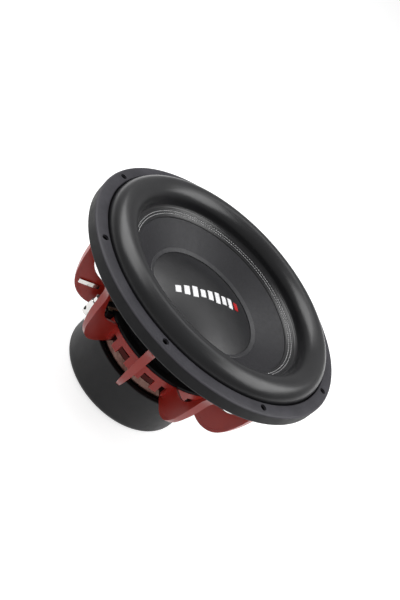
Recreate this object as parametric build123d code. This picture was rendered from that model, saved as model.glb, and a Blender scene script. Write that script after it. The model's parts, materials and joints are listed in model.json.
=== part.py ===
from build123d import *
from math import atan2, degrees, radians, sin, sqrt
import os

# Car subwoofer driver, 12 inch class. Millimetres, +Z out of the front of the cone.
# The origin is the centre of the motor's underside. Azimuth 0 points along -Y.

# ---- driving dimensions -------------------------------------------------------------
FACE_Z = 176.4          # front face of the gasket ring, above the motor's underside
RING_R = 161.0          # outer radius of the gasket ring
RING_IN_R = 147.0       # its opening, round the surround
BOLT_CIRCLE_R = 153.0   # radius of the mounting hole circle
BOLT_HOLE_R = 3.5
BOLT_COUNT = 8
SKIRT_DEPTH = 15.0      # depth of the gasket ring's outer wall
FOOT_BEVEL = 1.4        # at the wall's lower edge

RIM_R = 157.3           # cast rim under the gasket ring
COLLAR_R = 145.5        # collar that passes through the cut-out
SEAL_R = 147.6          # rubber band round the collar
SEAL_FOOT = 24.0        # depth of the band's lower edge below the front face
LEG_WEB = 3.0           # thickness of a leg's web
LEG_FLANGE = [(24.1, 9.4), (60.0, 8.4), (88.0, 5.8), (108.5, 2.2)]  # depth, width of its back flange
LEG_ANGLES = [-60, -30, 0, 30, 60, 120, 150, 180, 210, 240]
LANDING_R = 88.0        # outside of the spider landing ring
LANDING_TOP = 81.5      # depth of the landing ring's top below the front face
HUB_DEPTH = 107.3       # depth of the hub's underside, where the motor starts
HUB_R = 72.5

COIL_R = 38.0           # bore of the voice-coil former
MAGNET_R = 76.6
MAGNET_THICK = 20.0
PLATE_THICK = 14.3
BOOT_R = 78.1

ROLL_R = 129.7          # radius of the middle of the surround's roll
ROLL_HALF = 16.2        # half its width
ROLL_TOP = 13.8         # its crest above the front face
CONE_SLOPE = 0.5525     # rise of the cone per unit of radius
CONE_REF_R = 105.0      # a radius on the cone ...
CONE_REF_DEPTH = 12.3   # ... and its depth below the front face
CAP_R = 67.0
CAP_RISE = 11.6

TERMINAL_ANGLES = {"front": -45.0, "rear": 135.0}
BARREL_R = 6.0
BARREL_AT = 100.0       # radius at which the push terminals stand
BARREL_SIDE = 6.6       # each one's distance from the middle of its block
BUTTON_TRAVEL = 4.0

# ---- levels derived from them -------------------------------------------------------
HUB_Z = FACE_Z - HUB_DEPTH
LANDING_Z = FACE_Z - LANDING_TOP
PLATE_Z = HUB_Z - PLATE_THICK
MAGNET_Z = [PLATE_Z - MAGNET_THICK, PLATE_Z - 2 * MAGNET_THICK]
SEAL_Z = FACE_Z - SEAL_FOOT
GASKET_THICK = 6.0
LIP_THICK = 1.5
RIM_TOP = FACE_Z - GASKET_THICK - LIP_THICK
RIM_THICK = 6.0
RIM_FOOT = RIM_TOP - RIM_THICK


def cone_z(r):
    """Height of the cone's front surface at radius r."""
    return FACE_Z - CONE_REF_DEPTH + CONE_SLOPE * (r - CONE_REF_R)


# ---- shape helpers ------------------------------------------------------------------
def turned_face(edges, arc=360.0):
    """Revolve a closed outline, drawn with x as radius and y as height, about Z."""
    face = make_face(edges)
    return revolve(Plane.XZ * face, Axis.Z, arc)


def turned(points, arc=360.0):
    """Revolve a closed polygon of (radius, height) points about Z."""
    return turned_face(Polyline(*points, close=True), arc)


def tube(r_in, r_out, z0, z1):
    """A plain ring between two heights."""
    return turned([(r_in, z0), (r_out, z0), (r_out, z1), (r_in, z1)])


def rod(radius, z0, z1):
    """A solid cylinder on the axis between two heights."""
    return Pos(0, 0, z0) * extrude(Circle(radius), z1 - z0)


def at_azimuth(shape, angle):
    """Turn a shape drawn at azimuth 0 (along -Y) to another azimuth."""
    return Rot(0, 0, angle) * shape


def hole_ring(radius, circle_r, count, z0, z1, start=0.0):
    """Cylinders on a circle, for cutting holes."""
    spots = [at_azimuth(Pos(0, -circle_r, 0) * rod(radius, z0, z1), start + k * 360 / count)
             for k in range(count)]
    return Compound(children=spots)


def save(name, shape):
    export_step(shape, f"parts/{name}.step")


os.makedirs("parts", exist_ok=True)


# ---- gasket ring, seals -------------------------------------------------------------
def gasket_ring():
    """Wide trim ring with a crowned outer edge and a skirt that hides the cast rim."""
    top, foot, under = FACE_Z, FACE_Z - SKIRT_DEPTH, FACE_Z - GASKET_THICK
    edge = top - 2.4
    crown = Spline((RING_R - 9.0, top), (RING_R - 3.5, top - 0.5), (RING_R, edge),
                   tangents=((1, 0), (0.35, -1)))
    skirt = Polyline((RING_R, edge), (RING_R, foot + FOOT_BEVEL), (RING_R - FOOT_BEVEL * 0.6, foot),
                     (RIM_R + 0.2, foot), (RIM_R + 0.2, under), (RING_IN_R, under),
                     (RING_IN_R, top - 0.8), (RING_IN_R + 0.8, top), (RING_R - 9.0, top))
    ring = turned_face([crown, skirt])
    holes = hole_ring(BOLT_HOLE_R, BOLT_CIRCLE_R, BOLT_COUNT, top - 10, top + 2)
    return ring - holes


def cutout_seal():
    top = FACE_Z - SKIRT_DEPTH
    return turned([(COLLAR_R, SEAL_Z), (SEAL_R - 0.9, SEAL_Z), (SEAL_R, SEAL_Z + 0.9),
                   (SEAL_R, top), (COLLAR_R, top)])


def rear_gasket():
    z1 = RIM_FOOT
    ring = tube(SEAL_R + 0.2, RIM_R - 0.2, FACE_Z - SKIRT_DEPTH, z1)
    return ring - hole_ring(BOLT_HOLE_R, BOLT_CIRCLE_R, BOLT_COUNT, z1 - 3, z1 + 1)


# ---- basket -------------------------------------------------------------------------
def leg_plate():
    """One slim radial leg at azimuth 0: a thin web with a concave front, and a flange on its back."""
    def at(r, depth):
        return (r, FACE_Z - depth)

    toe, ankle = at(66.0, HUB_DEPTH), at(66.0, HUB_DEPTH - 6.0)
    instep, ledge = at(LANDING_R - 3.0, 90.0), at(LANDING_R - 3.0, LANDING_TOP)
    bay_in, bay_top = at(LANDING_R, 80.2), at(135.5, 29.0)
    top_in = (135.5, RIM_FOOT + 1.0)
    top_out = (COLLAR_R - 0.5, RIM_FOOT + 1.0)
    back = Spline(at(SEAL_R - 0.6, SEAL_FOOT + 0.1), at(140.2, 34.0), at(137.0, 52.0),
                  at(132.8, 72.0), at(125.2, 91.0), at(112.3, 103.4), at(97.0, HUB_DEPTH))
    front = Spline(bay_in, at(100.0, 76.0), at(113.0, 70.0), at(121.8, 60.0), at(128.0, 47.5),
                   bay_top)
    inside = Polyline(back @ 1, toe, ankle, instep, ledge, (LANDING_R, ledge[1]), bay_in)
    outside = Polyline(bay_top, top_in, top_out, (top_out[0], (back @ 0).Y), back @ 0)
    web = extrude(Plane.XZ * make_face([back, inside, front, outside]), LEG_WEB / 2, both=True)
    inner = Pos(-2.0, 1.7, 0) * back
    band = make_face([back, Line(back @ 1, inner @ 1), inner, Line(inner @ 0, back @ 0)])
    right = [(width / 2, FACE_Z - depth) for depth, width in LEG_FLANGE]
    left = [(-x, z) for x, z in reversed(right)]
    taper = extrude(Plane.YZ * make_face(Polyline(*right, *left, close=True)), 200)
    flange = extrude(Plane.XZ * band, 6.0, both=True) & taper
    return Rot(0, 0, -90) * (web + flange)


def near_station(angle, reach):
    """Whether an azimuth lies within reach of a terminal station."""
    gaps = [abs((angle - station + 180) % 360 - 180) for station in TERMINAL_ANGLES.values()]
    return min(gaps) < reach


def basket():
    rim = tube(138.0, RIM_R, RIM_FOOT, RIM_TOP)
    rim -= hole_ring(BOLT_HOLE_R, BOLT_CIRCLE_R, BOLT_COUNT, RIM_FOOT - 1, RIM_TOP + 1)
    collar = tube(COLLAR_R - 4.0, COLLAR_R, SEAL_Z, RIM_FOOT + 1.0)
    landing = turned([
        (LANDING_R - 3.6, LANDING_Z - 18.5), (LANDING_R, LANDING_Z - 18.5), (LANDING_R, LANDING_Z),
        (78.0, LANDING_Z), (78.0, LANDING_Z - 2.6), (LANDING_R - 3.6, LANDING_Z - 2.6),
    ])
    vents = [(11.6, 9.2), (24.0, 4.4), (36.0, 4.4), (48.4, 9.2), (71.0, 9.2), (82.0, 5.0)]
    windows = []
    for quarter in (0, 180):
        for side in (-1, 1):
            for middle, width in vents:
                angle = quarter + side * middle
                half = (LANDING_R - 2) * sin(radians(width / 2))
                cutter = Pos(0, -LANDING_R, LANDING_Z - 14) * Box(2 * half, 12, 14)
                if not near_station(angle, 12.0):
                    windows.append(at_azimuth(cutter, angle))
    landing -= Compound(children=windows)
    hub = tube(COIL_R + 4.0, HUB_R, HUB_Z, HUB_Z + 6.0)
    body = rim + collar + landing + hub
    for angle in LEG_ANGLES:
        body += at_azimuth(leg_plate(), angle)
    body -= hole_ring(2.6, SCREW_CIRCLE_R, SCREW_COUNT, HUB_Z - 1, HUB_Z + 8, SCREW_START)
    for angle in TERMINAL_ANGLES.values():
        for side in (-1, 1):
            screw = Pos(side * BLOCK_SCREW_SIDE, -LANDING_R, BLOCK_SCREW_Z) * Rot(90, 0, 0)
            body -= at_azimuth(screw * Cylinder(1.6, 12), angle)
    return body


# ---- motor --------------------------------------------------------------------------
SCREW_CIRCLE_R = 57.0
SCREW_COUNT = 8
SCREW_START = 22.5
POLE_R = 36.9
VENT_R = 12.0
GAP_R = 40.6


def top_plate():
    plate = turned([(GAP_R, PLATE_Z), (HUB_R - 0.6, PLATE_Z), (HUB_R, PLATE_Z + 0.6),
                    (HUB_R, HUB_Z - 0.8), (HUB_R - 0.8, HUB_Z), (GAP_R, HUB_Z)])
    return plate - hole_ring(2.6, SCREW_CIRCLE_R, SCREW_COUNT, HUB_Z - 11, HUB_Z + 1, SCREW_START)


def magnet(z0):
    r_in, r_out, z1, bevel = 52.0, MAGNET_R, z0 + MAGNET_THICK, 0.8
    return turned([(r_in, z0), (r_out - bevel, z0), (r_out, z0 + bevel), (r_out, z1 - bevel),
                   (r_out - bevel, z1), (r_in, z1)])


YOKE_BEVEL = 4.0
YOKE_R = 73.0
YOKE_FOOT = 1.4


def yoke():
    """Back plate and pole in one steel forging, with a bore that vents the dome."""
    z1 = MAGNET_Z[1]
    screen_seat = YOKE_FOOT + 2.0
    return turned([
        (VENT_R, screen_seat), (VENT_R + 1.5, screen_seat), (VENT_R + 1.5, YOKE_FOOT),
        (YOKE_R - YOKE_BEVEL, YOKE_FOOT), (YOKE_R, YOKE_FOOT + YOKE_BEVEL), (YOKE_R, z1),
        (POLE_R, z1), (POLE_R, HUB_Z - 1.5), (POLE_R - 1.5, HUB_Z), (VENT_R + 3.0, HUB_Z),
        (VENT_R, HUB_Z - 8.0),
    ])


def shorting_ring():
    z0 = MAGNET_Z[1]
    return tube(42.2, 51.2, z0, z0 + 15.0)


def vent_screen():
    disc = rod(VENT_R + 1.3, YOKE_FOOT + 1.2, YOKE_FOOT + 1.9)
    holes = [Pos(0, 0, 0) * rod(1.2, YOKE_FOOT, YOKE_FOOT + 3)]
    for ring_no in (1, 2, 3):
        for k in range(6 * ring_no):
            spot = Rot(0, 0, 60.0 * k / ring_no) * Pos(3.4 * ring_no, 0, 0)
            holes.append(spot * rod(1.2, YOKE_FOOT, YOKE_FOOT + 3))
    return disc - Compound(children=holes)


def motor_boot():
    """Rubber sleeve over the magnets and back plate, with a flat lip top and bottom."""
    top, corner, foot_r, foot_in = PLATE_Z + 1.4, 1.6, 8.0, 62.0
    bulge = 1 - sqrt(0.5)
    outside = [
        ThreePointArc((BOOT_R - foot_r, 0), (BOOT_R - foot_r * bulge, foot_r * bulge),
                      (BOOT_R, foot_r)),
        Line((BOOT_R, foot_r), (BOOT_R, top - corner)),
        ThreePointArc((BOOT_R, top - corner), (BOOT_R - corner * bulge, top - corner * bulge),
                      (BOOT_R - corner, top)),
    ]
    lip_r, wall_r, cup_r = HUB_R + 0.4, MAGNET_R + 0.1, YOKE_R + 0.1
    inside = Polyline((BOOT_R - corner, top), (lip_r, top), (lip_r, PLATE_Z), (wall_r, PLATE_Z),
                      (wall_r, MAGNET_Z[1]), (cup_r, MAGNET_Z[1]), (cup_r, YOKE_FOOT + YOKE_BEVEL),
                      (cup_r - YOKE_BEVEL, YOKE_FOOT), (foot_in, YOKE_FOOT), (foot_in, 0),
                      (BOOT_R - foot_r, 0))
    return turned_face(outside + [inside])


def cap_screw(shank_r, head_r, head_h, length, socket_r):
    """Socket-head screw along -Z with its head resting on z = 0."""
    head = rod(head_r, 0, head_h)
    head = chamfer(head.edges().filter_by(GeomType.CIRCLE).sort_by(Axis.Z)[-1], 0.4)
    head -= rod(socket_r, head_h * 0.4, head_h + 1)
    return head + rod(shank_r, -length, 0)


def motor_screws():
    screw = Pos(0, -SCREW_CIRCLE_R, HUB_Z + 6.0) * cap_screw(2.5, 4.2, 5.0, 15.0, 2.0)
    spots = [at_azimuth(screw, SCREW_START + k * 360 / SCREW_COUNT) for k in range(SCREW_COUNT)]
    return Compound(children=spots)


# ---- moving assembly ----------------------------------------------------------------
CONE_EDGE_R = 113.0
CONE_THICK = 1.4
NECK_R = COIL_R + 0.6


def cone():
    outer, inner = CONE_EDGE_R, NECK_R
    return turned([(inner, cone_z(inner)), (outer, cone_z(outer)), (outer, cone_z(outer) - CONE_THICK),
                   (inner, cone_z(inner) - CONE_THICK)])


def coil_former():
    return tube(COIL_R, COIL_R + 0.4, PLATE_Z - 18.0, cone_z(NECK_R) + 1.0)


def coil_winding(layer):
    r0 = COIL_R + 0.4 + 0.6 * layer
    middle = HUB_Z - PLATE_THICK / 2
    return tube(r0, r0 + 0.6, middle - 22.0, middle + 22.0)


def former_collar():
    z1 = cone_z(NECK_R) - CONE_THICK - 1.0
    r0 = COIL_R + 0.4
    return tube(r0, r0 + 0.6, z1 - 12.0, z1)


def neck_joint():
    """Fillet of adhesive where the cone meets the former."""
    r0, z0 = NECK_R + 0.2, cone_z(NECK_R + 0.2)
    return turned([(r0, z0), (r0 + 5.0, cone_z(r0 + 5.0)), (r0, z0 + 5.0)])


CAP_BAND = (67.4, 72.3)
BAND_THICK = 1.0


def cap_ring():
    r0, r1 = CAP_BAND
    return turned([(r0, cone_z(r0)), (r1, cone_z(r1)), (r1 - 0.8, cone_z(r1 - 0.8) + BAND_THICK),
                   (r0, cone_z(r0) + BAND_THICK)])


CAP_EDGE_Z = cone_z(CAP_R) + 0.6
CAP_SPHERE_R = (CAP_R ** 2 + CAP_RISE ** 2) / (2 * CAP_RISE)
CAP_CENTRE_Z = CAP_EDGE_Z + CAP_RISE - CAP_SPHERE_R
CAP_THICK = 1.2


def dome_shell(r_edge, lift, thick):
    """Shell of the dome's sphere, lifted above it, out to radius r_edge."""
    big, small = CAP_SPHERE_R + lift + thick, CAP_SPHERE_R + lift

    def at(radius, r):
        return (r, CAP_CENTRE_Z + sqrt(radius ** 2 - r ** 2))

    half = r_edge / 2
    top = ThreePointArc(at(big, 0), at(big, half), at(big, r_edge))
    under = ThreePointArc(at(small, r_edge), at(small, half), at(small, 0))
    return turned_face([top, Line(top @ 1, under @ 0), under, Line(under @ 1, top @ 0)])


def dust_cap():
    return dome_shell(CAP_R, -CAP_THICK, CAP_THICK)


EMBLEM_ANGLE = 48.0
EMBLEM_PITCH = 10.6
EMBLEM_HEIGHTS = [9.0, 12.0, 14.5, 10.5, 13.0, 15.5, 12.0, 14.5, 11.0]
EMBLEM_WIDTH = 6.6
EMBLEM_SLANT = 0.18     # sideways lean per unit of height


def emblem(numbers):
    """Slanted level bars across the dome, a plain mark with no lettering."""
    bars = []
    for number in numbers:
        x = (number - (len(EMBLEM_HEIGHTS) - 1) / 2) * EMBLEM_PITCH
        half, side = EMBLEM_HEIGHTS[number] / 2, EMBLEM_WIDTH / 2
        lean = EMBLEM_SLANT * half
        bar = Polyline((x - side - lean, -half), (x + side - lean, -half),
                       (x + side + lean, half), (x - side + lean, half), close=True)
        prism = Pos(0, 0, CAP_EDGE_Z) * extrude(make_face(bar), 60)
        bars += (Rot(0, 0, EMBLEM_ANGLE) * prism & dome_shell(60.0, 0.0, 0.5)).solids()
    return Compound(children=bars)


STITCH_RADII = (104.6, 106.9)
FLANGE_IN_R = 101.0
FLANGE_THICK = 1.0


def surround():
    """Tall half roll, clamped under the gasket ring outside and stitched to the cone inside."""
    arc_r = (ROLL_HALF ** 2 + (ROLL_TOP + 1.0) ** 2) / (2 * (ROLL_TOP + 1.0))
    centre_z = FACE_Z + ROLL_TOP - arc_r
    wall, lip_r = 1.6, 156.0
    inner_r = arc_r - wall
    foot_z = FACE_Z - 1.0
    out_r, in_r = ROLL_R + ROLL_HALF, ROLL_R - ROLL_HALF
    half_in = sqrt(inner_r ** 2 - (foot_z - centre_z) ** 2)
    flange_r = FLANGE_IN_R + 0.8
    lip = Polyline((out_r, foot_z), (out_r, FACE_Z - GASKET_THICK), (lip_r, FACE_Z - GASKET_THICK),
                   (lip_r, RIM_TOP), (ROLL_R + half_in, RIM_TOP), (ROLL_R + half_in, foot_z))
    underside = ThreePointArc((ROLL_R + half_in, foot_z), (ROLL_R, centre_z + inner_r),
                              (ROLL_R - half_in, foot_z))
    flange = Polyline((ROLL_R - half_in, foot_z), (ROLL_R - half_in, cone_z(CONE_EDGE_R)),
                      (CONE_EDGE_R, cone_z(CONE_EDGE_R)), (FLANGE_IN_R, cone_z(FLANGE_IN_R)),
                      (flange_r, cone_z(flange_r) + FLANGE_THICK), (in_r, cone_z(in_r) + FLANGE_THICK),
                      (in_r, foot_z))
    roll = ThreePointArc((in_r, foot_z), (ROLL_R, FACE_Z + ROLL_TOP), (out_r, foot_z))
    return turned_face([lip, underside, flange, roll])


def stitching():
    """Two rows of thread lying on the surround's stitched flange."""
    rows = []
    for r in STITCH_RADII:
        z = cone_z(r) + FLANGE_THICK + 0.42
        rows.append(Pos(0, 0, z) * Torus(r, 0.35))
    return Compound(children=rows)


# ---- spider -------------------------------------------------------------------------
SPIDER_IN_R = COIL_R + 0.4
SPIDER_WAVE_R = 44.0      # where the corrugations start
SPIDER_WAVES = 5
SPIDER_WAVE = 1.1         # height of each wave above or below the middle
SPIDER_THICK = 0.8
SPIDER_FLAT_R = 77.6      # and where they end
SPIDER_OUT_R = 87.4
CLAMP_IN_R = 79.4
CLAMP_THICK = 2.6


def spider_line(lift):
    """The corrugations of the spider as half-wave arcs, lifted above the landing ring's level."""
    z = LANDING_Z + lift
    step = (SPIDER_FLAT_R - SPIDER_WAVE_R) / (2 * SPIDER_WAVES)
    arcs = []
    for k in range(2 * SPIDER_WAVES):
        r = SPIDER_WAVE_R + k * step
        crest = z + SPIDER_WAVE * (-1) ** k
        arcs.append(ThreePointArc((r, z), (r + step / 2, crest), (r + step, z)))
    return arcs


def spider():
    z0, z1 = LANDING_Z, LANDING_Z + SPIDER_THICK
    inside = Polyline((SPIDER_WAVE_R, z1), (SPIDER_IN_R, z1), (SPIDER_IN_R, z0), (SPIDER_WAVE_R, z0))
    outside = Polyline((SPIDER_FLAT_R, z0), (SPIDER_OUT_R, z0), (SPIDER_OUT_R, z1), (SPIDER_FLAT_R, z1))
    return turned_face(spider_line(0.0) + spider_line(SPIDER_THICK) + [inside, outside])


def spider_clamp():
    z0 = LANDING_Z + SPIDER_THICK
    return turned([(CLAMP_IN_R, z0), (SPIDER_OUT_R, z0), (SPIDER_OUT_R, z0 + CLAMP_THICK - 0.6),
                   (SPIDER_OUT_R - 0.6, z0 + CLAMP_THICK), (CLAMP_IN_R, z0 + CLAMP_THICK)])


LEAD_WIDTH_DEG = 2.0
LEAD_THICK = 0.9


def woven_leads():
    """Flat braids woven on the spider, one to each terminal, over the clamp ring."""
    z0 = LANDING_Z + SPIDER_THICK
    z1 = z0 + LEAD_THICK
    over = z0 + CLAMP_THICK
    start = Polyline((SPIDER_WAVE_R, z0), (39.6, z0), (39.6, z1), (SPIDER_WAVE_R, z1))
    tail = Polyline((SPIDER_FLAT_R, z0), (CLAMP_IN_R - 0.2, z0), (CLAMP_IN_R - 0.2, over),
                    (LEAD_END_R, over), (LEAD_END_R, over + LEAD_THICK),
                    (CLAMP_IN_R - 1.1, over + LEAD_THICK), (CLAMP_IN_R - 1.1, z1), (SPIDER_FLAT_R, z1))
    outline = spider_line(SPIDER_THICK) + spider_line(SPIDER_THICK + LEAD_THICK) + [start, tail]
    leads = []
    for station in TERMINAL_ANGLES.values():
        for side in (-1, 1):
            aim = -90 - LEAD_WIDTH_DEG / 2 + station + side * TERMINAL_SPREAD
            leads.append(Rot(0, 0, aim) * turned_face(outline, LEAD_WIDTH_DEG))
    return Compound(children=leads)


# ---- terminals ----------------------------------------------------------------------
TERMINAL_SPREAD = degrees(atan2(BARREL_SIDE, BARREL_AT))
LEAD_END_R = 93.4
TAB_END_R = 94.0
BLOCK_TOP = LANDING_Z + SPIDER_THICK + CLAMP_THICK - 0.8
BLOCK_FOOT = LANDING_Z - 22.0
BLOCK_FACE = 96.0
BLOCK_HALF = 13.4
BLOCK_SCREW_SIDE = 6.0
BLOCK_SCREW_Z = LANDING_Z - 8.0
BARREL_FOOT = FACE_Z - 105.8
BARREL_TOP = FACE_Z - 86.6
BUTTON_TOP = FACE_Z - 80.2
WIRE_HOLE_R = 2.2
WIRE_Z = FACE_Z - 99.9
STUD_Z = FACE_Z - 97.2
STRAP_TILT = 11.5
TERMINALS = [(name, word, side) for name in TERMINAL_ANGLES
             for word, side in (("left", -1), ("right", 1))]


def placed(shape, station, side=0):
    """Move a terminal part, drawn round the Z axis, to its own place."""
    return at_azimuth(Pos(side * BARREL_SIDE, -BARREL_AT, 0) * shape, TERMINAL_ANGLES[station])


def terminal_block(station):
    back_r = 80.0
    middle = Pos(0, -(back_r + BLOCK_FACE) / 2, (BLOCK_TOP + BLOCK_FOOT) / 2)
    body = middle * Box(2 * BLOCK_HALF, BLOCK_FACE - back_r, BLOCK_TOP - BLOCK_FOOT)
    front = [e for e in body.edges().filter_by(Axis.Z) if e.center().Y < -90]
    body = fillet(front, 2.0)
    body = at_azimuth(body, TERMINAL_ANGLES[station]) - rod(LANDING_R + 0.1, 0, FACE_Z)
    for side in (-1, 1):
        stud = Pos(side * BARREL_SIDE, -91.5, STUD_Z) * Rot(90, 0, 0) * Cylinder(2.1, 7.6)
        screw = Pos(side * BLOCK_SCREW_SIDE, -86.0, BLOCK_SCREW_Z) * Rot(90, 0, 0)
        screw *= Cylinder(1.6, 13)
        seat = placed(rod(BARREL_R + 0.1, BARREL_FOOT - 0.2, FACE_Z), station, side)
        body -= at_azimuth(stud + screw, TERMINAL_ANGLES[station])
        body -= seat
    return body


def barrel(station, side):
    """Plated terminal post: a counterbore for the button above, a wire hole below."""
    post = rod(BARREL_R, BARREL_FOOT, BARREL_TOP)
    rims = post.edges().filter_by(GeomType.CIRCLE)
    post = chamfer(rims, 0.6)
    post -= rod(5.2, BARREL_TOP - 8.0, BARREL_TOP + 1)
    post -= Pos(0, -4.0, WIRE_Z) * Rot(90, 0, 0) * Cylinder(WIRE_HOLE_R, 8.0)
    stud = Pos(0, 7.6, STUD_Z) * Rot(90, 0, 0) * Cylinder(2.0, 7.0)
    return placed(post + stud, station, side)


def button(station, side):
    """Hollow spring-loaded cap that slides down into its barrel."""
    foot = BARREL_TOP - 3.0
    cap = rod(4.9, foot, BUTTON_TOP)
    cap = fillet(cap.edges().filter_by(GeomType.CIRCLE).sort_by(Axis.Z)[-1], 1.0)
    return placed(cap - rod(3.8, foot - 1, BUTTON_TOP - 1.6), station, side)


def button_spring(station, side):
    """Compression spring under the button, standing on the counterbore's floor."""
    wire, coil_r = 0.3, 3.1
    z0, z1 = BARREL_TOP - 8.0 + wire + 0.05, BUTTON_TOP - 1.6 - wire - 0.05
    turns = 6
    path = Helix(pitch=(z1 - z0) / turns, height=z1 - z0, radius=coil_r)
    section = Plane(origin=path @ 0, z_dir=path % 0) * Circle(wire)
    spring = sweep(section, path=path, is_frenet=True)
    return placed(Pos(0, 0, z0) * spring, station, side)


def solder_tabs(station):
    """Tinned tongues on top of the block that the leads are soldered to."""
    tabs = []
    for side in (-1, 1):
        tab = Pos(side * BARREL_SIDE, -(89.4 + TAB_END_R) / 2, BLOCK_TOP + 0.4)
        tab *= Box(5.0, TAB_END_R - 89.4, 0.8)
        tabs.append(at_azimuth(tab, TERMINAL_ANGLES[station]))
    return Compound(children=tabs)


def block_screws(station):
    """Screws that hold the block from inside the landing ring."""
    seat_r = sqrt((LANDING_R - 3.6) ** 2 - (BLOCK_SCREW_SIDE + 2.4) ** 2)
    screws = []
    for side in (-1, 1):
        screw = Rot(-90, 0, 0) * cap_screw(1.5, 2.4, 2.4, 8.0, 1.2)
        spot = Pos(side * BLOCK_SCREW_SIDE, -seat_r, BLOCK_SCREW_Z) * screw
        screws.append(at_azimuth(spot, TERMINAL_ANGLES[station]))
    return Compound(children=screws)


def terminal_strap(station):
    """Bright plated strap on the face of the leg beside the block, sloping up towards the block."""
    bar = Box(1.8, 23.0, 5.2)
    bar = chamfer(bar.edges().filter_by(Axis.Z).sort_by(Axis.X)[-2:], 0.6)
    spot = Pos(LEG_WEB / 2 + 0.9, -111.0, FACE_Z - 84.6) * Rot(STRAP_TILT, 0, 0) * bar
    return at_azimuth(spot, TERMINAL_ANGLES[station] - 15.0)


# ---- write every node ---------------------------------------------------------------
save("gasket_ring", gasket_ring())
save("cutout_seal", cutout_seal())
save("rear_gasket", rear_gasket())
save("basket", basket())
save("top_plate", top_plate())
save("magnet_upper", magnet(MAGNET_Z[0]))
save("magnet_lower", magnet(MAGNET_Z[1]))
save("yoke", yoke())
save("shorting_ring", shorting_ring())
save("vent_screen", vent_screen())
save("motor_boot", motor_boot())
save("motor_screws", motor_screws())

save("cone", cone())
save("coil_former", coil_former())
save("coil_winding_inner", coil_winding(0))
save("coil_winding_outer", coil_winding(1))
save("former_collar", former_collar())
save("neck_joint", neck_joint())
save("cap_ring", cap_ring())
save("dust_cap", dust_cap())
save("emblem_bars", emblem(range(len(EMBLEM_HEIGHTS) - 1)))
save("emblem_accent", emblem([len(EMBLEM_HEIGHTS) - 1]))
save("stitching", stitching())

save("surround", surround())
save("spider", spider())
save("spider_clamp", spider_clamp())
save("woven_leads", woven_leads())

for station_name in TERMINAL_ANGLES:
    save(f"terminal_block_{station_name}", terminal_block(station_name))
    save(f"solder_tabs_{station_name}", solder_tabs(station_name))
    save(f"block_screws_{station_name}", block_screws(station_name))
    save(f"terminal_strap_{station_name}", terminal_strap(station_name))
for station_name, word, side in TERMINALS:
    save(f"terminal_barrel_{station_name}_{word}", barrel(station_name, side))
    save(f"terminal_button_{station_name}_{word}", button(station_name, side))
    save(f"button_spring_{station_name}_{word}", button_spring(station_name, side))
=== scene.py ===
import json
from math import atan2, cos, degrees, hypot, radians, sin, sqrt, tau

import bmesh
import bpy
from mathutils import Matrix, Vector


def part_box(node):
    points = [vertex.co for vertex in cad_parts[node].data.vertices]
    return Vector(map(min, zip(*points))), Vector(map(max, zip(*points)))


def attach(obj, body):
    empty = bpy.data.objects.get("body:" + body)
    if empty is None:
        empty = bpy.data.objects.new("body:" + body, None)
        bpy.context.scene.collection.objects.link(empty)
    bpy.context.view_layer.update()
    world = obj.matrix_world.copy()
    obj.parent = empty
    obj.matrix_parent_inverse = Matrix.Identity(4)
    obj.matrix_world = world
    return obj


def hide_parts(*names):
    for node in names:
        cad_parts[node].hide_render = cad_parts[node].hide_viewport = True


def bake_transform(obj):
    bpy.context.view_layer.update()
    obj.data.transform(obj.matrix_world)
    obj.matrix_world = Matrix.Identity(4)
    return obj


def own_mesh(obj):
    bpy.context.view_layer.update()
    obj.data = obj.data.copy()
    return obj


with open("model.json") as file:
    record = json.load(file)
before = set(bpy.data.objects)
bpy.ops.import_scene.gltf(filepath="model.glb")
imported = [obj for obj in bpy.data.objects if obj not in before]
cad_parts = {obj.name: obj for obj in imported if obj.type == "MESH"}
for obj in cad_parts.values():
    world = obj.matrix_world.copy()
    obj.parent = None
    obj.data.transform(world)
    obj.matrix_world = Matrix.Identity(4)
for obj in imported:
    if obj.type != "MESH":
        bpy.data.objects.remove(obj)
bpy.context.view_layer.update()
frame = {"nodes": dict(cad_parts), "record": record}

# Lengths below are in mm, heights are above the motor's foot, and azimuth 0 is -Y.
MM = 0.001
CONE, FRAME = "cone_assembly", "driver_frame"
RING_R = round(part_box("gasket_ring")[1].x / MM, 1)
FACE = round(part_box("gasket_ring")[1].z / MM, 1)            # the ring's front face
CLAMP_TOP = round(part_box("spider_clamp")[1].z / MM, 1)
LIP_OUT = round(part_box("surround")[1].x / MM, 1)            # outer edge of the surround's clamped lip

CONE_R, CONE_DEPTH, CONE_SLOPE = 105.0, 12.3, 0.5525        # a radius, depth below the face, rise per mm
STATIONS = {"front": -45.0, "rear": 135.0}                  # azimuths of the two terminal stations
SIDES = {"left": -1, "right": 1}
POST_R, POST_SIDE = 100.0, 6.6                              # where the terminal posts stand in a station


def cone_z(r):
    """Height of the cone's front surface."""
    return FACE - CONE_DEPTH + CONE_SLOPE * (r - CONE_R)


# ---- camera -------------------------------------------------------------------------
CAMERA_AZIMUTH, CAMERA_ELEVATION, CAMERA_ROLL = -0.94, 30.04, 47.62
CAMERA_BACK, CAMERA_RIGHT, CAMERA_UP = 5.3155, -0.1531, -0.1045      # from the ring's centre, in ring radii
CAMERA_LENS, CAMERA_SENSOR = 49.07, 36


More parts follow.
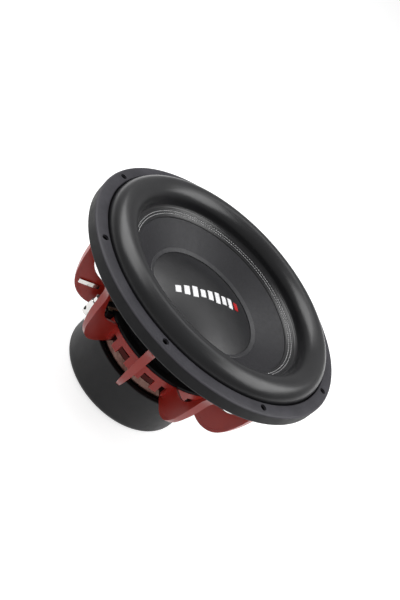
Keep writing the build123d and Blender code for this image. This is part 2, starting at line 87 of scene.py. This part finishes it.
def make_camera():
    """From 30 degrees above the ring, rolled by 47.6 degrees."""
    azimuth, elevation, roll = radians(CAMERA_AZIMUTH), radians(CAMERA_ELEVATION), radians(CAMERA_ROLL)
    back = Vector((sin(azimuth) * cos(elevation), -cos(azimuth) * cos(elevation), sin(elevation)))
    level = Vector((cos(azimuth), sin(azimuth), 0))
    upright = back.cross(level)
    right = cos(roll) * level + sin(roll) * upright
    up = cos(roll) * upright - sin(roll) * level
    data = bpy.data.cameras.new("camera")
    data.lens = CAMERA_LENS
    data.sensor_width = CAMERA_SENSOR
    data.dof.use_dof = False
    camera = bpy.data.objects.new("camera", data)
    camera.matrix_world = Matrix((right, up, back)).transposed().to_4x4()
    offset = CAMERA_BACK * back + CAMERA_RIGHT * right + CAMERA_UP * up
    camera.location = Vector((0, 0, FACE * MM)) + RING_R * MM * offset
    bpy.context.scene.collection.objects.link(camera)
    bpy.context.scene.camera = camera


make_camera()


# ---- material helpers ---------------------------------------------------------------
def fill_ramp(node, stops):
    """Set a colour ramp from (position, rgb) stops."""
    elements = node.color_ramp.elements
    while len(elements) < len(stops):
        elements.new(0.5)
    for element, (position, rgb) in zip(elements, stops):
        element.position = position
        element.color = (*rgb, 1)


class Surface:
    """A procedural material: colour, roughness and bump built from noise and waves in object space."""

    def __init__(self, name, rough=0.5, metallic=0.0, specular=0.5, coat=0.0, coat_rough=0.1, sheen=0.0,
                 anisotropic=0.0):
        self.mat = bpy.data.materials.new(name)
        self.mat.use_nodes = True
        self.nodes, self.links = self.mat.node_tree.nodes, self.mat.node_tree.links
        self.bsdf = next(n for n in self.nodes if n.type == "BSDF_PRINCIPLED")
        put = self.bsdf.inputs
        put["Roughness"].default_value = rough
        put["Metallic"].default_value = metallic
        put["Specular IOR Level"].default_value = specular
        put["Coat Weight"].default_value = coat
        put["Coat Roughness"].default_value = coat_rough
        put["Sheen Weight"].default_value = sheen
        put["Anisotropic"].default_value = anisotropic
        self.place = self.nodes.new("ShaderNodeTexCoord").outputs["Object"]
        self.normal = None

    def math(self, operation, *values):
        """A math node on sockets or plain numbers."""
        node = self.nodes.new("ShaderNodeMath")
        node.operation = operation
        for socket, value in zip(node.inputs, values):
            if hasattr(value, "is_output"):
                self.links.new(value, socket)
            else:
                socket.default_value = value
        return node.outputs[0]

    def add(self, a, b):
        return self.math("ADD", a, b)

    def less(self, a, b):
        return self.math("SUBTRACT", a, b)

    def times(self, a, b):
        return self.math("MULTIPLY", a, b)

    def mix(self, a, b, share):
        """Two values added, the first with the given share."""
        return self.add(self.times(a, share), self.times(b, 1 - share))

    def noise(self, scale, detail=4.0, roughness=0.55, stretch=(1, 1, 1)):
        mapping = self.nodes.new("ShaderNodeMapping")
        mapping.inputs["Scale"].default_value = stretch
        self.links.new(self.place, mapping.inputs["Vector"])
        node = self.nodes.new("ShaderNodeTexNoise")
        node.inputs["Scale"].default_value = scale
        node.inputs["Detail"].default_value = detail
        node.inputs["Roughness"].default_value = roughness
        self.links.new(mapping.outputs["Vector"], node.inputs["Vector"])
        return node.outputs["Fac"]

    def cells(self, scale):
        """Distance to the middle of small irregular cells, for a pebbled skin."""
        node = self.nodes.new("ShaderNodeTexVoronoi")
        node.inputs["Scale"].default_value = scale
        self.links.new(self.place, node.inputs["Vector"])
        return node.outputs["Distance"]

    def axes(self):
        split = self.nodes.new("ShaderNodeSeparateXYZ")
        self.links.new(self.place, split.inputs[0])
        return split.outputs

    def height(self):
        return self.axes()["Z"]

    def radius(self):
        """Distance from the Z axis."""
        x, y, _ = self.axes()
        return self.math("SQRT", self.add(self.times(x, x), self.times(y, y)))

    def turn(self):
        """Angle about the Z axis, in turns."""
        x, y, _ = self.axes()
        return self.math("DIVIDE", self.math("ARCTAN2", y, x), tau)

    def wave(self, value, period):
        """0 to 1 sine of a value."""
        return self.math("MULTIPLY_ADD", self.math("SINE", self.times(value, tau / period)), 0.5, 0.5)

    def span(self, value, low, high, out_low, out_high):
        """The value mapped from low..high to out_low..out_high and held at both ends."""
        node = self.nodes.new("ShaderNodeMapRange")
        self.links.new(value, node.inputs["Value"])
        ends = {"From Min": low, "From Max": high, "To Min": out_low, "To Max": out_high}
        for socket, end in ends.items():
            node.inputs[socket].default_value = end
        return node.outputs["Result"]

    def colour(self, value, stops):
        """Base colour from a ramp of (position, rgb)."""
        ramp = self.nodes.new("ShaderNodeValToRGB")
        fill_ramp(ramp, stops)
        self.links.new(value, ramp.inputs["Fac"])
        self.links.new(ramp.outputs["Color"], self.bsdf.inputs["Base Color"])

    def rough(self, value, low, high):
        """Roughness from low to high over the middle half of the value."""
        self.links.new(self.span(value, 0.25, 0.75, low, high), self.bsdf.inputs["Roughness"])

    def bump(self, height, strength, distance):
        """One more layer of bump over the earlier ones."""
        node = self.nodes.new("ShaderNodeBump")
        node.inputs["Strength"].default_value = strength
        node.inputs["Distance"].default_value = distance
        self.links.new(height, node.inputs["Height"])
        if self.normal is not None:
            self.links.new(self.normal, node.inputs["Normal"])
        self.normal = node.outputs["Normal"]
        self.links.new(self.normal, self.bsdf.inputs["Normal"])


# ---- materials, with periods and bump depths in metres ------------------------------
PEBBLE = 0.00012            # depth of moulded rubber's skin
LUMPS = 0.0006              # depth of its slow unevenness


def rubber(name, dark, light, rough, grain, specular=0.5, strength=0.25):
    """Moulded rubber: cloudy colour, a fine pebbled skin and a patchy sheen."""
    s = Surface(name, rough=sum(rough) / 2, specular=specular)
    s.colour(s.noise(38, 6, 0.62), [(0.3, dark), (0.7, light)])
    s.rough(s.noise(90, 5, 0.6), *rough)
    s.bump(s.cells(grain), strength, PEBBLE)
    s.bump(s.noise(60, 3), strength * 0.2, LUMPS)
    return s.mat


def ring_rubber(name):
    """Ring: slate face with a painted highlight along its rounded outer edge, above a duller wall whose
    colour is painted darker as shade.
    """
    s = Surface(name, rough=0.44, specular=0.2)
    cloud = s.noise(38, 6, 0.62)
    level = s.add(s.height(), s.times(cloud, 0.5 * MM))
    # Mask: 1 on the face, 0 on the wall, whose colour is painted darker as shade.
    face_over_painted_wall_shade = s.span(level, (FACE - 2.5) * MM, (FACE - 1.9) * MM, 0.0, 1.0)
    # Paler band where the face rounds down at its outer edge: painted highlight.
    painted_edge_highlight = s.span(level, (FACE - 1.1) * MM, (FACE - 0.5) * MM, 0.35, 0.0)
    tone = s.times(face_over_painted_wall_shade, s.add(s.span(cloud, 0.3, 0.7, 0.45, 0.65), painted_edge_highlight))
    # Stop 0.0 is the wall's painted shade, stop 1.0 the edge's painted highlight, and the middle stops the
    # face's own slate tone.
    s.colour(tone, [(0.0, (0.0058, 0.0058, 0.0070)), (0.45, (0.0270, 0.0261, 0.0313)),
                    (0.65, (0.0440, 0.0425, 0.0503)), (1.0, (0.078, 0.075, 0.084))])
    wall_rough = s.span(s.noise(90, 5, 0.6), 0.25, 0.75, 0.5, 0.62)
    s.links.new(s.add(s.times(face_over_painted_wall_shade, -0.12), wall_rough), s.bsdf.inputs["Roughness"])
    s.bump(s.cells(1500), 0.25, PEBBLE)
    s.bump(s.noise(60, 3), 0.05, LUMPS)
    return s.mat


def cast_paint(name):
    """Satin red powder coat with a little orange peel; inside the casting, within about 82 to 90 mm of the
    axis, the colour is painted dark red as shade, and the surface there is metallic and rougher.
    """
    s = Surface(name, rough=0.25, specular=0.4, coat=0.15, coat_rough=0.15)
    cloud = s.noise(24, 6, 0.6)
    # Mask: 0 inside the casting, where painted shade darkens the paint, and 1 outside.
    outside_of_painted_inner_shade = s.span(s.add(s.radius(), s.times(cloud, 0.006)), 0.082, 0.090, 0.0, 1.0)
    s.links.new(s.less(1.0, outside_of_painted_inner_shade), s.bsdf.inputs["Metallic"])
    tone = s.times(outside_of_painted_inner_shade, s.span(cloud, 0.25, 0.85, 0.45, 1.0))
    # Stop 0.0 is the inside's painted shade; the other stops are the paint's own tone.
    s.colour(tone, [(0.0, (0.035, 0.003, 0.002)), (0.45, (0.62, 0.020, 0.010)),
                    (0.8, (0.70, 0.036, 0.017)), (1.0, (0.76, 0.050, 0.024))])
    s.rough(s.times(outside_of_painted_inner_shade, s.noise(140, 4, 0.6)), 0.38, 0.26)
    s.bump(s.noise(420, 2, 0.5), 0.06, 0.00035)
    s.bump(s.cells(1500), 0.04, 0.0001)
    return s.mat


def turned_steel(name, tint, rough, pitch, stain_and_painted_reflection_tint=None):
    """Machined metal with fine turning marks round the axis and faint darker patches in a second tint:
    stains by default, and painted reflection on the plate steel.
    """
    s = Surface(name, rough=rough, metallic=1.0, anisotropic=0.35)
    marks = s.wave(s.add(s.radius(), s.height()), pitch)
    streaks = s.noise(700, 3, 0.6, stretch=(0.15, 0.15, 6.0))
    # Darker second tint in random patches: stains, and on the plate steel painted reflection.
    s.colour(s.noise(48, 6, 0.7), [(0.36, stain_and_painted_reflection_tint or tuple(v * 0.72 for v in tint)), (0.66, tint)])
    s.rough(streaks, rough * 0.75, rough * 1.45)
    s.bump(marks, 0.12, 0.00006)
    s.bump(streaks, 0.15, 0.00006)
    return s.mat


def plated(name, tint=(0.72, 0.71, 0.69), rough=0.09):
    """Bright plate with hairline wear and soft clouding."""
    s = Surface(name, rough=rough, metallic=1.0)
    s.colour(s.noise(160, 5, 0.6), [(0.3, tuple(v * 0.86 for v in tint)), (0.65, tint)])
    s.rough(s.noise(900, 3, 0.6, stretch=(1, 1, 0.15)), rough * 0.7, rough * 2.2)
    s.bump(s.noise(1400, 2), 0.05, 0.00004)
    return s.mat


def cloth(name, dark, light, pitch, sheen):
    """Resin-dipped cloth whose yarns run round the axis and outwards."""
    s = Surface(name, rough=0.85, specular=0.25, sheen=sheen)
    weft, warp = s.wave(s.radius(), pitch), s.wave(s.turn(), 1 / 360)
    weave = s.math("MAXIMUM", s.times(weft, warp), s.times(s.less(1.0, weft), s.less(1.0, warp)))
    s.colour(s.mix(weave, s.noise(260, 4), 0.6), [(0.15, dark), (0.7, light)])
    s.rough(s.noise(200, 3), 0.72, 0.95)
    s.bump(weave, 0.5, 0.0003)
    return s.mat


def braid(name):
    """Flat copper braid, browned: crossing diagonal strands."""
    s = Surface(name, rough=0.35, metallic=0.85)
    radius, slant, pitch = s.radius(), s.times(s.turn(), 0.4), 0.0011
    strands = s.math("MAXIMUM", s.wave(s.add(radius, slant), pitch), s.wave(s.less(radius, slant), pitch))
    s.colour(strands, [(0.2, (0.05, 0.026, 0.016)), (0.8, (0.28, 0.15, 0.09))])
    s.rough(strands, 0.5, 0.28)
    s.bump(strands, 0.8, 0.0004)
    return s.mat


def moulded(name, dark, light, rough, specular):
    """Injection-moulded plastic with a spark-eroded skin."""
    s = Surface(name, rough=sum(rough) / 2, specular=specular)
    s.colour(s.noise(70, 5, 0.6), [(0.3, dark), (0.7, light)])
    s.rough(s.noise(300, 4), *rough)
    s.bump(s.cells(1800), 0.15, 0.0001)
    return s.mat


def pulp(name, dark, light):
    """Pressed cone body: short fibres under a thin dull coat, very slightly mottled."""
    s = Surface(name, rough=0.5, specular=0.3)
    fibres = s.noise(520, 6, 0.7, stretch=(1, 0.35, 1))
    s.colour(s.mix(fibres, s.noise(28, 5, 0.6), 0.45), [(0.32, dark), (0.66, light)])
    s.rough(s.noise(240, 5), 0.42, 0.58)
    s.bump(fibres, 0.3, 0.00022)
    return s.mat


def satin_dome(name):
    """Pressed dome with a satin lacquer over a finely pebbled skin."""
    s = Surface(name, rough=0.36, specular=0.42, coat=0.08, coat_rough=0.3)
    s.colour(s.noise(34, 5, 0.6), [(0.3, (0.0078, 0.0078, 0.0088)), (0.7, (0.0125, 0.0125, 0.0142))])
    s.rough(s.noise(180, 5), 0.30, 0.42)
    s.bump(s.cells(1300), 0.12, 0.0001)
    return s.mat


def printed(name, dark, light):
    """Thick glossy print with a slightly uneven face."""
    s = Surface(name, rough=0.3, specular=0.5, coat=0.3, coat_rough=0.12)
    s.colour(s.noise(120, 4), [(0.3, dark), (0.7, light)])
    s.rough(s.noise(300, 4), 0.22, 0.4)
    s.bump(s.noise(500, 3), 0.12, 0.00012)
    return s.mat


def twisted_thread(name):
    """Pale polyester thread."""
    s = Surface(name, rough=0.7, specular=0.3, sheen=0.4)
    twist = s.wave(s.add(s.times(s.turn(), 0.66), s.times(s.radius(), 3.0)), 0.0007)
    s.colour(s.mix(twist, s.noise(300, 4), 0.6), [(0.2, (0.34, 0.34, 0.345)), (0.8, (0.82, 0.82, 0.83))])
    s.rough(s.noise(400, 3), 0.6, 0.85)
    s.bump(twist, 0.6, 0.0002)
    return s.mat


def wound_wire(name):
    """Copper wire wound side by side."""
    s = Surface(name, rough=0.25, metallic=1.0, coat=0.4, coat_rough=0.1)
    turns = s.wave(s.height(), 0.0006)
    s.colour(turns, [(0.1, (0.22, 0.07, 0.03)), (0.7, (0.78, 0.33, 0.14))])
    s.rough(s.noise(500, 3), 0.18, 0.32)
    s.bump(turns, 0.8, 0.0003)
    return s.mat


def glass_fibre(name):
    """Brown resin former with a faint weave."""
    s = Surface(name, rough=0.3, specular=0.5, coat=0.2, coat_rough=0.15)
    weave = s.times(s.wave(s.turn(), 1 / 240), s.wave(s.height(), 0.001))
    s.colour(s.mix(weave, s.noise(90, 5), 0.5), [(0.2, (0.018, 0.011, 0.008)), (0.7, (0.062, 0.034, 0.02))])
    s.rough(s.noise(200, 4), 0.24, 0.42)
    s.bump(weave, 0.3, 0.00012)
    return s.mat


MATS = {
    "ring_rubber": ring_rubber("ring_rubber"),
    "seal_foam": rubber("seal_foam", (0.006, 0.006, 0.007), (0.016, 0.016, 0.017), rough=(0.8, 0.95),
                        grain=900, specular=0.3, strength=0.6),
    "basket_paint": cast_paint("basket_paint"),
    # Plate steel: the dark red-brown tint and its darker red-brown patches are painted reflection of the red
    # basket and the dark inside of the driver.
    "plate_steel": turned_steel("plate_steel", (0.155, 0.092, 0.078), rough=0.12, pitch=0.0005,
                                stain_and_painted_reflection_tint=(0.04, 0.013, 0.009)),
    "ferrite": rubber("ferrite", (0.035, 0.035, 0.038), (0.06, 0.06, 0.063), rough=(0.35, 0.55),
                      grain=1200),
    "ring_aluminium": turned_steel("ring_aluminium", (0.8, 0.8, 0.81), rough=0.25, pitch=0.0004),
    "screen_steel": turned_steel("screen_steel", (0.32, 0.32, 0.33), rough=0.35, pitch=0.0004),
    "boot_rubber": rubber("boot_rubber", (0.012, 0.012, 0.013), (0.018, 0.018, 0.0196), rough=(0.42, 0.55),
                          grain=1300, specular=0.27),
    "screw_steel": turned_steel("screw_steel", (0.1, 0.1, 0.11), rough=0.35, pitch=0.0006),
    "cone_paper": pulp("cone_paper", (0.0125, 0.0122, 0.0146), (0.0205, 0.0202, 0.0236)),
    "former_glassfibre": glass_fibre("former_glassfibre"),
    "coil_wire": wound_wire("coil_wire"),
    "former_paper": pulp("former_paper", (0.03, 0.02, 0.012), (0.07, 0.045, 0.028)),
    "adhesive": rubber("adhesive", (0.008, 0.008, 0.009), (0.014, 0.014, 0.016), rough=(0.2, 0.35),
                       grain=700),
    "cap_band": moulded("cap_band", (0.022, 0.022, 0.0245), (0.034, 0.034, 0.037), rough=(0.42, 0.55),
                        specular=0.4),
    "cap_plastic": satin_dome("cap_plastic"),
    "emblem_white": printed("emblem_white", (0.74, 0.74, 0.75), (0.86, 0.86, 0.87)),
    "emblem_red": printed("emblem_red", (0.42, 0.008, 0.01), (0.56, 0.014, 0.016)),
    "thread": twisted_thread("thread"),
    "surround_rubber": rubber("surround_rubber", (0.009, 0.009, 0.0101), (0.013, 0.013, 0.0145),
                              rough=(0.28, 0.32), grain=2200, specular=0.45, strength=0.03),
    "spider_cloth": cloth("spider_cloth", (0.006, 0.007, 0.008), (0.020, 0.022, 0.025), pitch=0.0009,
                          sheen=0.1),
    "black_plastic": moulded("black_plastic", (0.004, 0.004, 0.0045), (0.009, 0.009, 0.0095),
                             rough=(0.55, 0.7), specular=0.15),
    "lead_braid": braid("lead_braid"),
    "tinned_brass": plated("tinned_brass", (0.42, 0.33, 0.2), rough=0.3),
    "plated_metal": plated("plated_metal"),
    "button_plate": plated("button_plate", (0.8, 0.79, 0.77), rough=0.16),
    "spring_steel": plated("spring_steel", (0.62, 0.61, 0.6), rough=0.2),
}

slot_of = {part["node"]: part["material_slot"] for part in frame["record"]["subparts"]}
for node, piece in frame["nodes"].items():
    piece.data.materials.clear()
    piece.data.materials.append(MATS[slot_of[node]])


# ---- mesh helpers -------------------------------------------------------------------
def add_mesh(name, verts, faces, slot, smooth_angle=38.0):
    """A new piece from points in mm, shaded smooth except at edges sharper than the angle."""
    mesh = bpy.data.meshes.new(name)
    mesh.from_pydata([tuple(c * MM for c in v) for v in verts], [], faces)
    bm = bmesh.new()
    bm.from_mesh(mesh)
    bmesh.ops.recalc_face_normals(bm, faces=bm.faces)
    bm.to_mesh(mesh)
    bm.free()
    mesh.polygons.foreach_set("use_smooth", [True] * len(mesh.polygons))
    mesh.set_sharp_from_angle(angle=radians(smooth_angle))
    mesh.materials.append(MATS[slot])
    piece = bpy.data.objects.new(name, mesh)
    bpy.context.scene.collection.objects.link(piece)
    return piece


def lathe(name, profile, slot, segments):
    """Turn a closed (radius, height) outline about Z."""
    verts, faces, n = [], [], len(profile)
    for k in range(segments):
        a = tau * k / segments
        verts += [(r * sin(a), -r * cos(a), z) for r, z in profile]
        here, there = k * n, (k + 1) % segments * n
        for i in range(n):
            j = (i + 1) % n
            faces.append((here + i, here + j, there + j, there + i))
    return add_mesh(name, verts, faces, slot)


def tube_faces(base, rings, sides):
    """Faces of a capped tube whose rings + 1 loops of points follow each other from base."""
    faces = []
    for i in range(rings):
        for j in range(sides):
            p, q = base + i * sides + j, base + i * sides + (j + 1) % sides
            faces.append((p, q, q + sides, p + sides))
    faces.append(tuple(range(base, base + sides)))
    faces.append(tuple(range(base + rings * sides, base + (rings + 1) * sides)))
    return faces


def arc(r0, z0, radius, a0, a1, count):
    """Points on an arc, angles in degrees from the outward direction."""
    angles = [radians(a0 + (a1 - a0) * k / count) for k in range(count + 1)]
    return [(r0 + radius * cos(a), z0 + radius * sin(a)) for a in angles]


def radial_bend(piece, r_fixed, r_moving):
    """Bakes the piece's transform, then works out each point's share from 0 at r_fixed to 1 at r_moving; the
    share is not used, so the piece does not bend.
    """
    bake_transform(piece)
    for v in piece.data.vertices:
        t = (hypot(v.co.x, v.co.y) / MM - r_fixed) / (r_moving - r_fixed)
        t = min(1.0, max(0.0, t))


# ---- surround: half roll, clamped lip, stitched flange ------------------------------
ROLL_R, ROLL_HALF, ROLL_TOP = 129.7, 16.2, 13.8     # middle radius, half width, height above the face
ROLL_SKIN, ROLL_SINK = 1.6, 1.0                     # thickness, and how far its feet are below the face
ROLL_STILL = 146.5                                  # radius given to radial_bend as its r_fixed
ROLL_ARC = (ROLL_HALF ** 2 + (ROLL_TOP + ROLL_SINK) ** 2) / (2 * (ROLL_TOP + ROLL_SINK))
ROLL_Z = FACE + ROLL_TOP - ROLL_ARC                 # height of the arc's centre
LIP_IN, LIP_TOP, LIP_FOOT = 144.6, FACE - 6.0, FACE - 7.5
FLANGE_IN, FLANGE_OUT, FLANGE_THICK = 101.0, 112.8, 1.0
GROOVES, GROOVE_DEPTH, GROOVE_HALF = (102.7, 105.7, 108.6), 0.35, 0.9
BEAD_R, BEAD_RISE, BEAD_HALF = 110.9, 0.5, 1.5


def hump(r, middle, half):
    """1 at the middle, falling in a curve to 0 on both sides."""
    return max(0.0, 1 - ((r - middle) / half) ** 2)


def flange_top(r):
    """Surface of the stitched flange: sewn grooves between low ridges, and a bead."""
    grooves = sum(GROOVE_DEPTH * hump(r, groove, GROOVE_HALF) for groove in GROOVES)
    return cone_z(r) + FLANGE_THICK - grooves + BEAD_RISE * hump(r, BEAD_R, BEAD_HALF)


def flange_outline(steps=50):
    """The flange's upper line, rounded down onto the cone at its inner edge."""
    line = []
    for k in range(steps + 1):
        r = FLANGE_IN + 0.2 + (FLANGE_OUT - FLANGE_IN - 0.7) * k / steps
        rise = min(1.0, (r - FLANGE_IN + 0.1) / 0.8)
        line.append((r, cone_z(r) + (flange_top(r) - cone_z(r)) * rise))
    return line


def surround():
    foot = FACE - ROLL_SINK
    low = degrees(atan2(foot - ROLL_Z, ROLL_HALF))
    outer_r, inner_r = ROLL_R + ROLL_HALF, ROLL_R - ROLL_HALF
    under = arc(ROLL_R, ROLL_Z, ROLL_ARC - ROLL_SKIN, low, 180 - low, 40)[1:-1]
    profile = [(LIP_OUT, LIP_TOP), (LIP_OUT, LIP_FOOT), (LIP_IN, LIP_FOOT), (LIP_IN - 0.2, LIP_FOOT + 1.0),
               (outer_r - ROLL_SKIN, foot), *under, (inner_r + ROLL_SKIN, foot),
               (inner_r + 0.6, cone_z(FLANGE_OUT + 0.2) + 0.2), (FLANGE_OUT, cone_z(FLANGE_OUT)),
               (FLANGE_IN, cone_z(FLANGE_IN)), *flange_outline(),
               (FLANGE_OUT + 0.1, cone_z(FLANGE_OUT + 0.1) + 1.3), (inner_r - 0.15, foot - 3.0)]
    profile += arc(ROLL_R, ROLL_Z, ROLL_ARC, 180 - low, low, 64)
    profile += [(outer_r + 0.1, foot - 2.0), (outer_r + 0.6, LIP_TOP + 0.4), (outer_r + 1.6, LIP_TOP)]
    piece = lathe("surround_roll", profile, "surround_rubber", segments=288)
    radial_bend(piece, ROLL_STILL, FLANGE_OUT + 0.1)
    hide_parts("surround")


surround()


# ---- stitches: separate twisted threads in two rows ---------------------------------
STITCH_ROWS = [(104.5, 200, 0.0), (107.0, 204, 0.5)]        # radius, stitches, shift in stitches
THREAD_R, STITCH_SHARE = 0.42, 0.86                         # and the stitch's share of its pitch


def stitch(row_r, middle, half, rings, sides):
    """Points of one short stitch on the flange: it twists, dips at both ends and narrows there."""
    points = []
    for i in range(rings + 1):
        t = -1 + 2 * i / rings
        a = middle + half * t
        thick = THREAD_R * sqrt(max(0.03, 1 - t ** 4))
        r0, z0 = row_r + 0.12 * t, flange_top(row_r) + 0.22 - 0.35 * t ** 2
        for j in range(sides):
            b = tau * j / sides + 1.5 * t
            r, z = r0 + thick * cos(b), z0 + thick * 0.85 * sin(b)
            points.append((r * sin(a), -r * cos(a), z))
    return points


def stitches():
    verts, faces, rings, sides = [], [], 7, 7
    for row_r, count, shift in STITCH_ROWS:
        pitch = tau / count
        for k in range(count):
            faces += tube_faces(len(verts), rings, sides)
            verts += stitch(row_r, pitch * (k + shift), pitch * STITCH_SHARE / 2, rings, sides)
    piece = add_mesh("stitch_rows", verts, faces, "thread", 60)
    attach(piece, CONE)
    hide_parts("stitching")


stitches()


# ---- spider and its woven leads -----------------------------------------------------
SPIDER_IN, SPIDER_OUT, SPIDER_THICK = 38.4, 87.4, 0.8
WAVE_IN, WAVE_OUT, WAVES, WAVE_HEIGHT = 44.0, 77.6, 6, 2.3
CLAMP_THICK = 2.6
LANDING = CLAMP_TOP - CLAMP_THICK - SPIDER_THICK            # the ledge that the spider lies on
BEND_STILL, BEND_MOVING = 79.0, 42.0                        # radii given to radial_bend as its r_fixed and r_moving
LEAD_WIDTH, LEAD_THICK = 3.0, 0.8
LEAD_SECTION = [(-0.5, 0.15), (-0.42, 0.75), (-0.2, 1.0), (0.2, 1.0), (0.42, 0.75), (0.5, 0.15),
                (0.3, 0.0), (-0.3, 0.0)]                    # in widths across and thicknesses up


def wave_radii(steps):
    return [WAVE_IN + (WAVE_OUT - WAVE_IN) * k / steps for k in range(steps + 1)]


def spider_z(r):
    """Underside of the spider: flat at both ends, with waves between that start and end gently."""
    if r <= WAVE_IN or r >= WAVE_OUT:
        return LANDING
    phase = (r - WAVE_IN) / (WAVE_OUT - WAVE_IN)
    ease = min(1.0, WAVES * phase, WAVES * (1 - phase))
    return LANDING + 0.4 + WAVE_HEIGHT * ease * sin(tau * WAVES * phase)


def spider():
    radii = [SPIDER_IN, 41.0, *wave_radii(120), 80.0, SPIDER_OUT]
    profile = [(r, spider_z(r)) for r in radii]
    profile += [(r, spider_z(r) + SPIDER_THICK) for r in reversed(radii)]
    piece = lathe("spider_cloth_disc", profile, "spider_cloth", segments=192)
    radial_bend(piece, BEND_STILL, BEND_MOVING)
    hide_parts("spider")


def leads():
    """Flat braids that follow the spider, climb over the clamp ring and end on the tabs."""
    line = [(r, spider_z(r) + SPIDER_THICK + 0.05) for r in (39.6, 41.5, *wave_radii(100))]
    line += [(78.3, LANDING + 0.9), (78.9, LANDING + 1.8), (79.3, CLAMP_TOP - 0.3), (80.2, CLAMP_TOP + 0.15),
             (84.0, CLAMP_TOP + 0.1), (88.0, CLAMP_TOP + 0.25), (90.0, CLAMP_TOP + 0.1),
             (93.3, CLAMP_TOP + 0.1)]
    verts, faces = [], []
    for azimuth in STATIONS.values():
        for side in SIDES.values():
            a = radians(azimuth + side * degrees(atan2(POST_SIDE, POST_R)))
            along, across = Vector((sin(a), -cos(a), 0)), Vector((cos(a), sin(a), 0))
            faces += tube_faces(len(verts), len(line) - 1, len(LEAD_SECTION))
            for r, z in line:
                for s, h in LEAD_SECTION:
                    point = along * r + across * (s * LEAD_WIDTH)
                    verts.append((point.x, point.y, z + h * LEAD_THICK))
    piece = add_mesh("braided_leads", verts, faces, "lead_braid")
    radial_bend(piece, BEND_STILL, BEND_MOVING)
    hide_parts("woven_leads")


spider()
leads()


# ---- button springs -----------------------------------------------------------------
SPRING_FOOT, SPRING_TOP = FACE - 94.3, FACE - 82.1
SPRING_R, SPRING_WIRE, SPRING_TURNS = 3.1, 0.3, 6


def coil(cx, cy, steps=26, sides=8):
    """Points and faces of one spring's wire, with so many steps in a turn."""
    points, count = [], SPRING_TURNS * steps
    for k in range(count + 1):
        t = tau * k / steps
        z = SPRING_FOOT + (SPRING_TOP - SPRING_FOOT) * k / count
        for j in range(sides):
            b = tau * j / sides
            r = SPRING_R + SPRING_WIRE * cos(b)
            points.append((cx + r * cos(t), cy + r * sin(t), z + SPRING_WIRE * sin(b)))
    return points, tube_faces(0, count, sides)


def springs():
    for station, azimuth in STATIONS.items():
        a = radians(azimuth)
        for word, side in SIDES.items():
            cx = side * POST_SIDE * cos(a) + POST_R * sin(a)
            cy = side * POST_SIDE * sin(a) - POST_R * cos(a)
            verts, faces = coil(cx, cy)
            piece = add_mesh(f"coil_spring_{station}_{word}", verts, faces, "spring_steel", 60)
            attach(piece, FRAME)
            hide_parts(f"button_spring_{station}_{word}")
            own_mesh(piece)


springs()


# ---- studio, in metres and watts ----------------------------------------------------
FLOOR_HALF, FLOOR_GLOW = 30, 0.72
# Brightness of the sky from straight down to straight up.
SKY = [(0.0, 0.08), (0.46, 0.15), (0.54, 0.34), (0.75, 0.37), (1.0, 0.4)]
AIM = Vector((0, 0, 0.15))
BOX_AZIMUTH, BOX_ELEVATION, BOX_AWAY, BOX_SIZE, BOX_POWER = 108.0, 48.0, 2.0, (1.8, 1.2), 29
RIM_OFFSET, RIM_SIZE, RIM_POWER = Vector((0.0, 1.7, 2.1)), (2.4, 0.6), 8


def pale_floor():
    """A plain floor that glows, so that it stays pale far away. It adds no bounced light."""
    h = FLOOR_HALF
    mesh = bpy.data.meshes.new("floor")
    mesh.from_pydata([(-h, -h, 0), (h, -h, 0), (h, h, 0), (-h, h, 0)], [], [(0, 1, 2, 3)])
    floor = bpy.data.objects.new("floor", mesh)
    bpy.context.scene.collection.objects.link(floor)
    s = Surface("floor", rough=0.9, specular=0.1)
    s.colour(s.noise(3, 3), [(0.3, (0.55, 0.55, 0.55)), (0.7, (0.57, 0.57, 0.57))])
    s.bsdf.inputs["Emission Color"].default_value = (1, 1, 1, 1)
    s.bsdf.inputs["Emission Strength"].default_value = FLOOR_GLOW
    mesh.materials.append(s.mat)
    floor.visible_diffuse = False


def sky():
    """A grey sky, darker below the horizon."""
    world = bpy.data.worlds.new("studio")
    world.use_nodes = True
    nodes, links = world.node_tree.nodes, world.node_tree.links
    split = nodes.new("ShaderNodeSeparateXYZ")
    links.new(nodes.new("ShaderNodeTexCoord").outputs["Generated"], split.inputs[0])
    height = nodes.new("ShaderNodeMapRange")
    height.inputs["From Min"].default_value = -1.0
    links.new(split.outputs["Z"], height.inputs["Value"])
    ramp = nodes.new("ShaderNodeValToRGB")
    fill_ramp(ramp, [(position, (grey, grey, grey)) for position, grey in SKY])
    links.new(height.outputs["Result"], ramp.inputs["Fac"])
    links.new(ramp.outputs["Color"], nodes["Background"].inputs["Color"])
    bpy.context.scene.world = world


def softbox(name, offset, size, power):
    """A rectangular light that faces the driver."""
    data = bpy.data.lights.new(name, "AREA")
    data.shape = "RECTANGLE"
    data.size, data.size_y = size
    data.energy = power
    lamp = bpy.data.objects.new(name, data)
    lamp.location = AIM + offset
    lamp.rotation_euler = (-offset).to_track_quat("-Z", "Y").to_euler()
    bpy.context.scene.collection.objects.link(lamp)


def studio():
    pale_floor()
    sky()
    bpy.context.scene.view_settings.view_transform = "Standard"
    elevation = radians(BOX_ELEVATION)
    for word, side in SIDES.items():
        azimuth = radians(BOX_AZIMUTH * side)
        away = Vector((sin(azimuth) * cos(elevation), -cos(azimuth) * cos(elevation), sin(elevation)))
        softbox(word, BOX_AWAY * away, BOX_SIZE, BOX_POWER)
    softbox("rim", RIM_OFFSET, RIM_SIZE, RIM_POWER)


studio()
